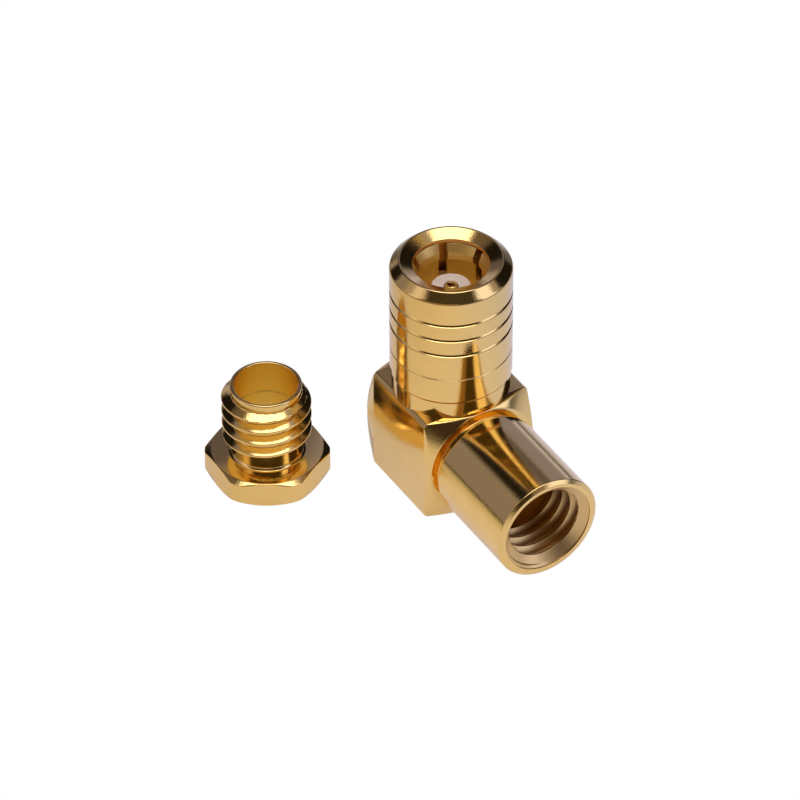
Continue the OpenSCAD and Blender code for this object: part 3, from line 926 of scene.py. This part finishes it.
# The plating's colour and roughness outside, and in each bore, as gold() takes it. The limits of a bore
# lie a hair off its walls and edges, so that no wall lies right on one.
GOLD, POLISH = (0.93, 0.66, 0.215), 0.1
# The barrel's hole is darker than the outside: painted shade in the hole, with rougher plating
BARREL_BORE = ((0, CABLE_Z), STEP_R - 0.01, (SEAT_X, BARREL_REACH), (0.72, 0.5, 0.185), 0.3)
# The sleeve's bore and mouth land are a deeper orange than the outside: painted light, the orange that the
# gold round the mouth throws onto them, with rougher plating
SLEEVE_BORE = ((0, 0), REGISTER_R + 0.03, (0, SLEEVE_TOP - FUNNEL_DEPTH), (0.94, 0.56, 0.17), 0.4)
# The nut's mouth is lighter than the outside: painted light in the hole, with rougher plating
NUT_BORE = (NUT_CENTRE, NUT_MOUTH_R + 0.005, (-1, NUT_L - 0.04), (0.98, 0.76, 0.22), 0.36)

body_plating = gold("body_plating", GOLD, POLISH, "X", BARREL_BORE)
sleeve_plating = gold("sleeve_plating", GOLD, POLISH, "Z", SLEEVE_BORE)
nut_plating = gold("nut_plating", GOLD, POLISH, "Z", NUT_BORE)
cap_plating = gold("gold_plating", GOLD, POLISH, "Z")
# The outer contact inside the mouth is a lighter copy of the plating: painted light in the mouth, with
# rougher plating
finger_plating = gold("contact_plating", (0.99, 0.76, 0.25), 0.4, "Z")
pin_plating = gold("contact_gold", (0.93, 0.64, 0.2), 0.16, "Z")
white = ptfe("ptfe")

for build, node, surface, slot in (
    (elbow_body, "elbow_body", body_plating, "gold_plating"),
    (coupling_sleeve, "coupling_sleeve", sleeve_plating, "gold_plating"),
    (outer_contact, "outer_contact", finger_plating, "gold_plating"),
    (dielectric, "dielectric", white, "ptfe"),
    (centre_contact, "centre_contact", pin_plating, "contact_gold"),
    (access_cap, "access_cap", cap_plating, "gold_plating"),
    (clamp_nut, "clamp_nut", nut_plating, "gold_plating"),
):
    piece = build()
    use_stored_normals(piece.data)
    piece.data.materials.clear()
    piece.data.materials.append(surface)
    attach(piece, "root")
    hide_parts(node)


# Camera, as solved from the photo: (azimuth, elevation, roll) in degrees and its place in millimetres

CAMERA_ANGLES = (59.012, 39.94, -0.279)
CAMERA_PLACE = (207.127, -127.478, 208.534)
SENSOR_W, LENS = 36, 274.75
CLIP_START, CLIP_END = 0.01, 10


def set_camera():
    azimuth, elevation, roll = (math.radians(a) for a in CAMERA_ANGLES)
    level, height = math.cos(elevation), math.sin(elevation)
    right = Vector((math.cos(azimuth), math.sin(azimuth), 0))
    back = Vector((math.sin(azimuth)*level, -math.cos(azimuth)*level, height))
    up = back.cross(right)
    turned = (right*math.cos(roll) + up*math.sin(roll), up*math.cos(roll) - right*math.sin(roll), back)
    data = bpy.data.cameras.new("camera")
    data.sensor_width, data.lens = SENSOR_W, LENS
    data.clip_start, data.clip_end = CLIP_START, CLIP_END
    camera = made("camera", data)
    place = Matrix.Translation(Vector(CAMERA_PLACE)*MM)
    camera.matrix_world = place @ Matrix(turned).transposed().to_4x4()
    scene.camera = camera


set_camera()


# Stage: a white table lit by soft boxes, white all round for the camera

# What the table sends into reflections: its own glow and the light it scatters. Both fade outwards from
# TABLE_MIDDLE, to the share TABLE_SHARES[0] at TABLE_WIDE and that times TABLE_SHARES[1] at TABLE_END,
# and go from warm at TABLE_FRONT_Y to cool at TABLE_BACK_Y. Lengths here are in metres.
FLOOR_HALF = 4.0
TABLE_MIDDLE = (0.010, -0.004, 0)
TABLE_NEAR, TABLE_WIDE, TABLE_END = 0.01, 0.045, 0.08
TABLE_SHARES = (0.58, 0.3)
TABLE_FRONT_Y, TABLE_BACK_Y = -0.022, 0.018
TABLE_WARM, TABLE_COOL = (1.0, 0.89, 0.78), (0.97, 1.0, 1.38)
TABLE_GLOW = 0.46
TABLE_SCATTER = 0.5
TABLE_ROUGHNESS = 0.9


def floor():
    mesh = bpy.data.meshes.new("floor")
    ways = ((-1, -1), (1, -1), (1, 1), (-1, 1))
    mesh.from_pydata([(x*FLOOR_HALF, y*FLOOR_HALF, 0) for x, y in ways], [], [(0, 1, 2, 3)])
    piece = made("floor", mesh)
    new, tree, shader = material("floor_white")
    nodes, links = tree.nodes, tree.links
    place = nodes.new("ShaderNodeNewGeometry").outputs["Position"]
    away = measured(tree, "DISTANCE", place, TABLE_MIDDLE)
    cool = spread(tree, split(tree, place)["Y"], TABLE_FRONT_Y, TABLE_BACK_Y)
    strength = math_node(
        tree, "MULTIPLY",
        spread(tree, away, TABLE_NEAR, TABLE_WIDE, 1.0, TABLE_SHARES[0]),
        spread(tree, away, TABLE_WIDE, TABLE_END, 1.0, TABLE_SHARES[1]))
    shade = scaled(tree, mix_colour(tree, cool, TABLE_WARM, TABLE_COOL), strength)
    links.new(scaled(tree, shade, TABLE_SCATTER), shader.inputs["Base Color"])
    shader.inputs["Roughness"].default_value = TABLE_ROUGHNESS
    shader.inputs["Specular IOR Level"].default_value = 0
    glow = nodes.new("ShaderNodeEmission")
    glow.inputs["Strength"].default_value = TABLE_GLOW
    links.new(shade, glow.inputs["Color"])
    lit = nodes.new("ShaderNodeAddShader")
    links.new(shader.outputs[0], lit.inputs[0])
    links.new(glow.outputs[0], lit.inputs[1])
    white_table = nodes.new("ShaderNodeEmission")
    path = nodes.new("ShaderNodeLightPath")
    mix = nodes.new("ShaderNodeMixShader")
    links.new(path.outputs["Is Camera Ray"], mix.inputs["Fac"])
    links.new(lit.outputs[0], mix.inputs[1])
    links.new(white_table.outputs[0], mix.inputs[2])
    links.new(mix.outputs[0], nodes["Material Output"].inputs["Surface"])
    mesh.materials.append(new)


floor()

# Soft boxes and dark screens round the table, each (azimuth from, azimuth to, height from, height to,
# softness, colour). Angles are in degrees, and a later one covers an earlier one.
STUDIO_GREY = (0.33, 0.3, 0.425)
SCREENS = (
    # Left
    (-141, -118, -10, 50, 8, (0.26, 0.235, 0.35)),
    (-139, -112, 50, 66, 6, (0.39, 0.28, 0.12)),
    (-188, -138, 50, 72, 6, (0.145, 0.115, 0.12)),
    (-125, -86, -10, 52, 8, (0.42, 0.35, 0.4)),
    (-110, -91, -10, 58, 9, (0.78, 0.71, 0.912)),
    (-186, -145, 14, 51, 8, (0.012, 0.01, 0.01)),
    (-166, -145, -10, 24, 6, (0.012, 0.01, 0.01)),
    # Round the camera
    (-84, 19, 22, 58, 7, (0.052, 0.041, 0.027)),
    (-84, -20, -10, 20, 6, (0.29, 0.18, 0.112)),
    (-20, 9, -10, 20, 6, (0.045, 0.03, 0.025)),
    (8, 22, -10, 18, 5, (0.25, 0.2, 0.225)),
    # Right
    (52, 66, -10, 56, 6, (0.36, 0.32, 0.425)),
    (24, 53, -10, 58, 8, (1.1, 1.12, 1.75)),
    # Behind
    (66, 127, -10, 47, 7, (0.012, 0.01, 0.01)),
    (98, 128, 44, 60, 6, (0.03, 0.02, 0.019)),
    (84, 98, 46, 62, 5, (0.5, 0.38, 0.25)),
    (128, 142, 8, 44, 8, (0.26, 0.26, 0.525)),
    (127, 146, -10, 8, 6, (0.55, 0.55, 1)),
    (141, 178.5, 14, 47, 5, (0.12, 0.11, 0.188)),
    (136, 172, 48.5, 58, 5, (0.38, 0.25, 0.125)),
    (156, 186, -10, 9, 8, (0.45, 0.43, 0.625)),
)

# A round soft box over the table: (azimuth, height, half its width, half its softness, colour)
OVERHEAD = (-30, 86, 22.5, 3, (2.45, 2.35, 2.8))


def world():
    studio = bpy.data.worlds.new("studio")
    scene.world = studio
    studio.use_nodes = True
    tree = studio.node_tree
    where = coordinates(tree, "Generated")
    parts = split(tree, where)
    azimuth = math_node(tree, "ARCTAN2", parts["Y"], parts["X"])
    height = math_node(tree, "ARCSINE", parts["Z"])
    colour = STUDIO_GREY
    for *angles, shade in SCREENS:
        start, end, low, high, soft = (math.radians(a) for a in angles)
        middle, half, soft = (start + end)/2, (end - start)/2, soft/2
        off = math_node(tree, "SUBTRACT", azimuth, middle)
        off = math_node(tree, "ABSOLUTE", math_node(tree, "WRAP", off, math.pi, -math.pi))
        in_height = math_node(
            tree, "MULTIPLY",
            fade(tree, height, low - soft, low + soft), fade(tree, height, high + soft, high - soft))
        covers = math_node(tree, "MULTIPLY", fade(tree, off, half + soft, half - soft), in_height)
        colour = mix_colour(tree, covers, colour, shade)
    *angles, shade = OVERHEAD
    turn, up, half, soft = (math.radians(a) for a in angles)
    axis = (math.cos(turn)*math.cos(up), math.sin(turn)*math.cos(up), math.sin(up))
    away = math_node(tree, "ARCCOSINE", measured(tree, "DOT_PRODUCT", where, axis))
    colour = mix_colour(tree, fade(tree, away, half + soft, half - soft), colour, shade)
    path = tree.nodes.new("ShaderNodeLightPath")
    colour = mix_colour(tree, path.outputs["Is Camera Ray"], colour, (1.0, 1.0, 1.0))
    tree.links.new(colour, tree.nodes["Background"].inputs["Color"])


world()

scene.view_settings.view_transform = "Standard"
